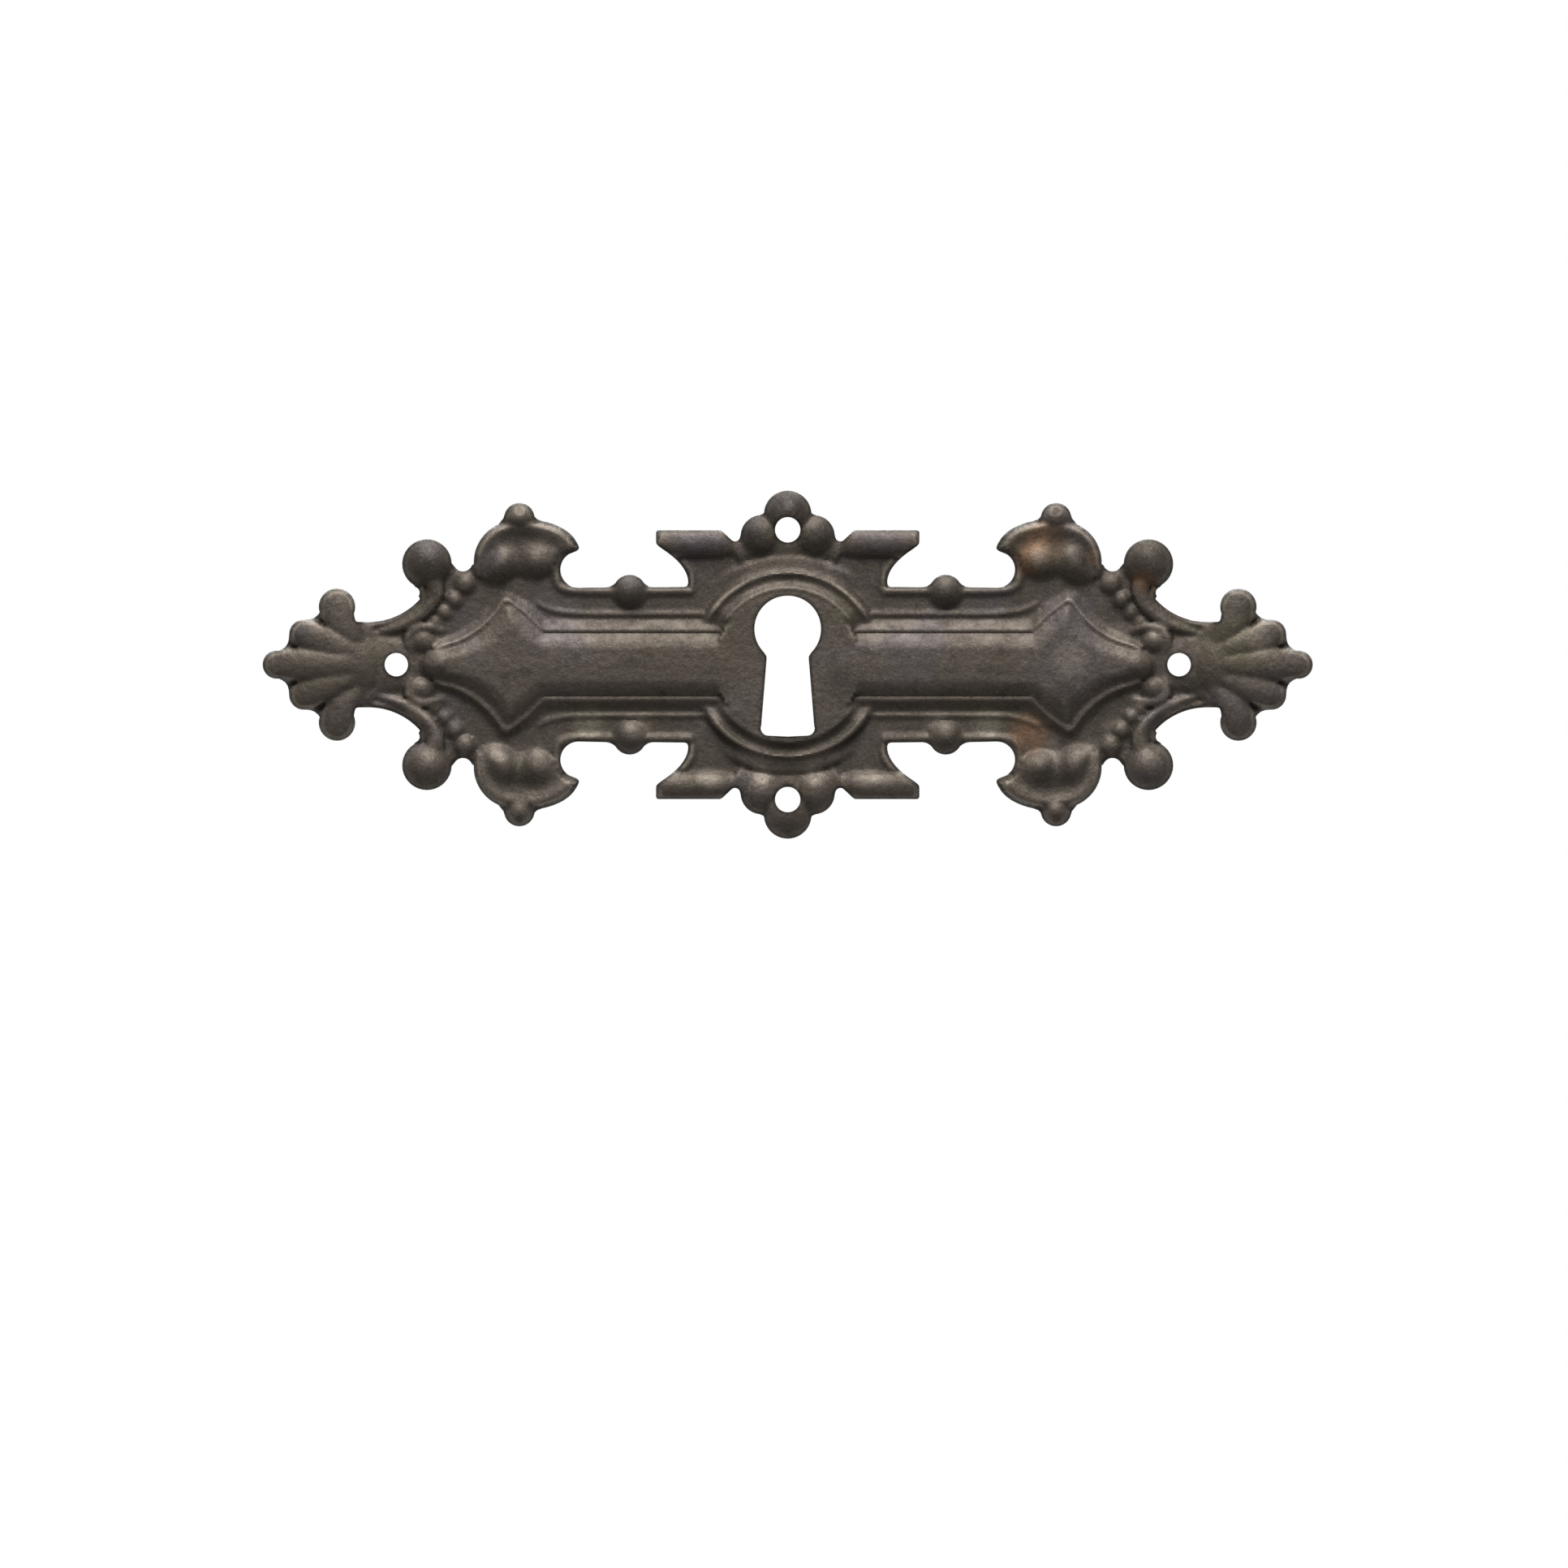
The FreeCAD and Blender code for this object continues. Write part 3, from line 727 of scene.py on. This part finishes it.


# Finish

# Patches of the patina and of painted light (violet reflection, highlight, shade), laid on in
# this order: the colour, how strong it is, and the x, z and radius of each patch on the front, in
# millimetres
PATCHES = (
    ("copper", 0.65, (
        (24.8, -7.0, 3.0), (26.3, 12.6, 3.0), (24.6, 10.6, 2.2), (36.6, 8.7, 2.0),
        (31.5, 11.2, 1.2))),
    ("olive", 0.55, (
        (27.2, 10.2, 2.6), (19.5, -5.9, 3.6), (-20.5, -5.8, 3.4), (46.8, 1.2, 3.6),
        (-42.0, 1.6, 2.4), (5.8, 5.6, 2.4))),
    # Painted reflection: violet patches of a cool sky reflected on the tops of the rolls, crown
    # and curls
    ("violet_sky_reflection", 0.7, (
        (9.5, 13.4, 3.6), (-9.5, 13.4, 3.6), (0, 17.0, 2.8), (-37.0, 11.8, 2.4),
        (-50.3, 3.4, 1.8), (-31.0, 10.8, 2.4), (21.0, 7.3, 3.2), (-3.8, 14.2, 1.6),
        (38.0, -5.0, 3.0))),
    # Partly real wear, partly painted highlight on upward-facing slopes, mostly in the lower half
    ("wear_and_highlight", 0.5, (
        (38.2, 3.4, 1.6), (34.2, 3.4, 1.8), (31.3, -8.4, 1.6), (40.0, -5.2, 1.8),
        (-36.0, 2.4, 1.8), (-38.0, -4.6, 1.8), (-25.6, -8.7, 1.4), (-30.2, -8.9, 1.8),
        (8.2, -11.5, 1.6), (-8.2, -11.5, 1.6), (2.8, -11.4, 1.5), (-2.8, -11.4, 1.5),
        (27.2, -8.6, 1.6), (36.0, -4.2, 1.6), (33.0, -6.2, 1.4), (48.6, 2.2, 2.0),
        (25.9, 10.9, 1.5), (29.0, 0.6, 2.6), (15.5, -6.2, 2.2), (20.5, -6.2, 2.4),
        (-15.5, -6.2, 2.2), (-20.5, -6.2, 2.4))),
    # Partly patina on the domes and beads, partly painted shade: the shadow band below the
    # keyhole, the ring's groove and the lit tops
    ("patina_and_painted_shade", 0.6, (
        (16.25, 7.4, 2.0), (-16.25, 7.4, 2.0), (27.6, 15.9, 1.8), (31.3, 12.0, 2.2),
        (2.9, 12.4, 2.6), (-2.9, 12.4, 2.6), (37.6, 11.6, 2.0), (-27.6, 13.2, 2.6),
        (46.3, 6.6, 2.2), (41.8, -2.6, 1.8), (34.5, 6.2, 2.2), (28.5, -3.4, 2.4),
        (27.4, -11.4, 2.6), (-27.4, -11.2, 2.2), (5.6, -7.2, 2.6), (-5.6, -7.2, 2.6),
        (0, -9.0, 2.8), (0, 16.4, 2.2), (0.3, 15.9, 2.4), (27.8, 12.6, 1.6),
        (29.7, 10.9, 1.5), (3.2, 13.5, 1.8), (-3.2, 13.5, 1.8), (16.25, -7.5, 1.8),
        (-16.25, -7.5, 1.8), (-37.2, 10.9, 2.2), (36.7, 10.4, 1.8), (5.3, -2.0, 2.2),
        (0, 8.7, 1.1))),
)


def patina(colours):
    """Aged brass: dark oxide in the hollows, paler worn metal on the raised lines, warm casts in
    patches and a fine speckle, with painted light: a violet sky reflection in drifts and patches,
    painted highlights and shade in patches, and painted shade along the cut edges."""
    material = bpy.data.materials.new("patinated_brass")
    material.use_nodes = True
    nodes = material.node_tree.nodes
    links = material.node_tree.links
    shader = nodes["Principled BSDF"]
    place = nodes.new("ShaderNodeTexCoord").outputs["Object"]

    def node(kind, **settings):
        new = nodes.new(kind)
        for key, value in settings.items():
            setattr(new, key, value)
        return new

    def noise(scale, detail, roughness=0.55):
        texture = node("ShaderNodeTexNoise")
        texture.inputs["Scale"].default_value = scale
        texture.inputs["Detail"].default_value = detail
        texture.inputs["Roughness"].default_value = roughness
        links.new(place, texture.inputs["Vector"])
        return texture.outputs["Fac"]

    def between(value, low, high, to_low=0.0, to_high=1.0):
        """Runs softly from one share to the other while the value runs from low to high."""
        span = node("ShaderNodeMapRange", interpolation_type="SMOOTHSTEP")
        for name, number in (("From Min", low), ("From Max", high),
                             ("To Min", to_low), ("To Max", to_high)):
            span.inputs[name].default_value = number
        links.new(value, span.inputs["Value"])
        return span.outputs["Result"]

    def times(first, second):
        product = node("ShaderNodeMath", operation="MULTIPLY")
        links.new(first, product.inputs[0])
        links.new(second, product.inputs[1])
        return product.outputs["Value"]

    def tinted(below, colour, share):
        """Lays a colour over what is below it. A mix node keeps its colour sockets at these
        places, whatever kind of value it mixes."""
        mix = node("ShaderNodeMix", data_type="RGBA")
        under, over, mixed = mix.inputs[6], mix.inputs[7], mix.outputs[2]
        links.new(share, mix.inputs["Factor"])
        if isinstance(below, tuple):
            under.default_value = below
        else:
            links.new(below, under)
        over.default_value = (*colour, 1)
        return mixed

    def patch(x, z, radius):
        """Soft round patch about a point of the front, in millimetres."""
        front, full = -2, 0.35
        reach = node("ShaderNodeVectorMath", operation="DISTANCE")
        links.new(place, reach.inputs[0])
        reach.inputs[1].default_value = (x * MM, front * MM, z * MM)
        return between(reach.outputs["Value"], radius * MM, full * radius * MM)

    def bump(height, depth, below=None):
        """Unevenness of the surface, on top of another one that may be below it."""
        uneven = node("ShaderNodeBump")
        uneven.inputs["Strength"].default_value = 0.6
        uneven.inputs["Distance"].default_value = depth
        links.new(height, uneven.inputs["Height"])
        if below:
            links.new(below, uneven.inputs["Normal"])
        return uneven.outputs["Normal"]

    broad = noise(110, 3)
    mottle = noise(600, 5, 0.65)
    grain = noise(1500, 4, 0.7)
    speckle = noise(3600, 3, 0.7)
    depth = node("ShaderNodeSeparateXYZ")
    links.new(place, depth.inputs["Vector"])
    crest = node("ShaderNodeAttribute", attribute_name="crest").outputs["Fac"]
    painted_edge_shade = node("ShaderNodeAttribute", attribute_name="painted_edge_shade").outputs["Fac"]

    # Ground colour, with drifts of wear and of the olive cast, and drifts of a painted violet sky
    # reflection
    colour = tinted((*colours.patina, 1), colours.patina_and_painted_shade, between(mottle, 0.5, 0.72, 0, 0.5))
    drift = times(between(broad, 0.42, 0.66, 0.05, 0.3), between(grain, 0.35, 0.7))
    colour = tinted(colour, colours.wear_and_highlight, drift)
    sunk = between(depth.outputs["Y"], -1.8 * MM, -0.9 * MM, 0, 0.3)
    colour = tinted(colour, colours.patina_and_painted_shade, sunk)
    # Painted reflection: broad random drifts of the violet sky reflection
    colour = tinted(colour, colours.violet_sky_reflection, between(broad, 0.52, 0.66, 0, 0.5))
    colour = tinted(colour, colours.olive, between(broad, 0.44, 0.34, 0, 0.3))
    for name, strength, spots in PATCHES:
        dapple = between(grain, 0.25, 0.6, 0.3 * strength, strength)
        for x, z, radius in spots:
            colour = tinted(colour, getattr(colours, name), times(patch(x, z, radius), dapple))

    # Worn crests, dark hollows and painted shade along the cut edges, then the speckle
    worn = times(between(crest, 0.022, 0.09, 0, 0.85), between(mottle, 0.3, 0.6, 0.4, 1))
    colour = tinted(colour, colours.wear_and_highlight, worn)
    colour = tinted(colour, colours.patina_and_painted_shade, between(crest, -0.02, -0.11, 0, 0.8))
    # Painted shade along the cut edges
    colour = tinted(colour, colours.patina_and_painted_shade, between(painted_edge_shade, 0.1, 0.85, 0, 0.9))
    flecks = times(between(speckle, 0.56, 0.72), between(mottle, 0.4, 0.6, 0.15, 0.45))
    colour = tinted(colour, colours.wear_and_highlight, flecks)
    colour = tinted(colour, colours.patina_and_painted_shade, between(speckle, 0.44, 0.3, 0, 0.6))
    links.new(colour, shader.inputs["Base Color"])

    links.new(between(mottle, 0.3, 0.7, 0.5, 0.68), shader.inputs["Roughness"])
    shader.inputs["Metallic"].default_value = 0.6
    pits = bump(grain, 0.1 * MM)
    links.new(bump(mottle, 0.3 * MM, pits), shader.inputs["Normal"])
    return material


# Stage

class ESCUTCHEON_OT_stage(bpy.types.Operator):
    """Add the floor, the backdrop, the lamps and the camera"""

    bl_idname = "escutcheon.stage"
    bl_label = "Stage"
    bl_options = {"REGISTER", "UNDO"}

    def execute(self, context):
        colours = context.scene.escutcheon_colours
        context.scene.view_settings.view_transform = "Standard"
        floor = sheet_of_paper("floor", (0, 3, -0.6), 0, pale_paper("floor_paper", colours, 0.75))
        backdrop = sheet_of_paper("backdrop", (0, 2.2, 1.5), 90,
                                  pale_paper("backdrop_paper", colours, 1))
        context.scene.world = soft_room()
        add_lamp("top_lamp", location=(0, -0.24, 0.5), tilt=26, size=0.4, power=5)
        add_lamp("front_lamp", location=(0, -0.9, 0.25), tilt=75, size=0.5, power=0.8)
        add_lamp("back_lamp", location=(0, 0.7, 0.6), tilt=-49, size=0.6, power=9)
        context.scene.camera = add_camera()
        return {"FINISHED"}


def sheet_of_paper(name, location, tilt, paper):
    """Large plain sheet, tilted up by degrees from lying flat."""
    deselect_all()
    bpy.ops.mesh.primitive_plane_add(size=6, location=location,
                                     rotation=(math.radians(tilt), 0, 0))
    sheet = settle(bpy.context.object)
    sheet.name = name
    sheet.data.materials.append(paper)
    return sheet


def add_lamp(name, location, tilt, size, power):
    """Square soft lamp, tilted by degrees from shining straight down."""
    deselect_all()
    bpy.ops.object.light_add(type="AREA", location=location, rotation=(math.radians(tilt), 0, 0))
    lamp = bpy.context.object
    lamp.name = name
    lamp.data.size = size
    lamp.data.energy = power


def add_camera():
    """Camera straight in front. The plate sits above the middle of its picture."""
    middle_x, middle_z, frame_width = -0.38 * MM, -12.27 * MM, 161.25 * MM
    deselect_all()
    bpy.ops.object.camera_add(location=(middle_x, -0.5, middle_z), rotation=(math.pi / 2, 0, 0))
    camera = bpy.context.object
    camera.name = "camera"
    camera.data.type = "ORTHO"
    camera.data.ortho_scale = frame_width
    camera.data.clip_start = 0.01
    return camera


def pale_paper(name, colours, glow):
    """Pale paper that looks white to the camera and in reflections. With a glow under 1 it
    still takes a shadow."""
    material = bpy.data.materials.new(name)
    material.use_nodes = True
    nodes = material.node_tree.nodes
    links = material.node_tree.links
    shader = nodes["Principled BSDF"]
    shader.inputs["Base Color"].default_value = (*colours.floor, 1)
    shader.inputs["Roughness"].default_value = 0.9
    path = nodes.new("ShaderNodeLightPath")
    seen = path.outputs["Is Camera Ray"]
    for ray in ("Is Glossy Ray", "Is Transmission Ray"):
        either = nodes.new("ShaderNodeMath")
        either.operation = "MAXIMUM"
        links.new(seen, either.inputs[0])
        links.new(path.outputs[ray], either.inputs[1])
        seen = either.outputs["Value"]
    light = nodes.new("ShaderNodeMath")
    light.operation = "MULTIPLY"
    light.inputs[1].default_value = glow
    links.new(seen, light.inputs[0])
    white = nodes.new("ShaderNodeEmission")
    mix = nodes.new("ShaderNodeMixShader")
    links.new(light.outputs["Value"], mix.inputs["Fac"])
    links.new(shader.outputs["BSDF"], mix.inputs[1])
    links.new(white.outputs["Emission"], mix.inputs[2])
    links.new(mix.outputs["Shader"], nodes["Material Output"].inputs["Surface"])
    return material


def soft_room():
    """Soft even light from all round, seen as white by the camera."""
    world = bpy.data.worlds.new("soft_room")
    world.use_nodes = True
    nodes = world.node_tree.nodes
    links = world.node_tree.links
    fill = nodes["Background"]
    fill.inputs["Color"].default_value = (0.8, 0.8, 0.8, 1)
    fill.inputs["Strength"].default_value = 0.3
    white = nodes.new("ShaderNodeBackground")
    white.inputs["Color"].default_value = (1, 1, 1, 1)
    path = nodes.new("ShaderNodeLightPath")
    mix = nodes.new("ShaderNodeMixShader")
    links.new(path.outputs["Is Camera Ray"], mix.inputs["Fac"])
    links.new(fill.outputs["Background"], mix.inputs[1])
    links.new(white.outputs["Background"], mix.inputs[2])
    links.new(mix.outputs["Shader"], nodes["World Output"].inputs["Surface"])
    return world


class ESCUTCHEON_PT_sidebar(bpy.types.Panel):
    """Escutcheon sizes, colours and steps"""

    bl_idname = "ESCUTCHEON_PT_sidebar"
    bl_label = "Keyhole escutcheon"
    bl_space_type = "VIEW_3D"
    bl_region_type = "UI"
    bl_category = "Escutcheon"

    def draw(self, context):
        layout = self.layout
        for group in (context.scene.escutcheon_sizes, context.scene.escutcheon_colours):
            box = layout.box()
            for name in group.__annotations__:
                box.prop(group, name)
        layout.operator("escutcheon.plate")
        layout.operator("escutcheon.stage")


classes = (EscutcheonSizes, EscutcheonColours, ESCUTCHEON_OT_plate, ESCUTCHEON_OT_stage,
           ESCUTCHEON_PT_sidebar)


def register():
    for one in classes:
        bpy.utils.register_class(one)
    bpy.types.Scene.escutcheon_sizes = PointerProperty(type=EscutcheonSizes)
    bpy.types.Scene.escutcheon_colours = PointerProperty(type=EscutcheonColours)


def unregister():
    del bpy.types.Scene.escutcheon_colours
    del bpy.types.Scene.escutcheon_sizes
    for one in reversed(classes):
        bpy.utils.unregister_class(one)


def main():
    register()
    bpy.ops.escutcheon.plate()
    bpy.ops.escutcheon.stage()


if __name__ == "__main__":
    main()
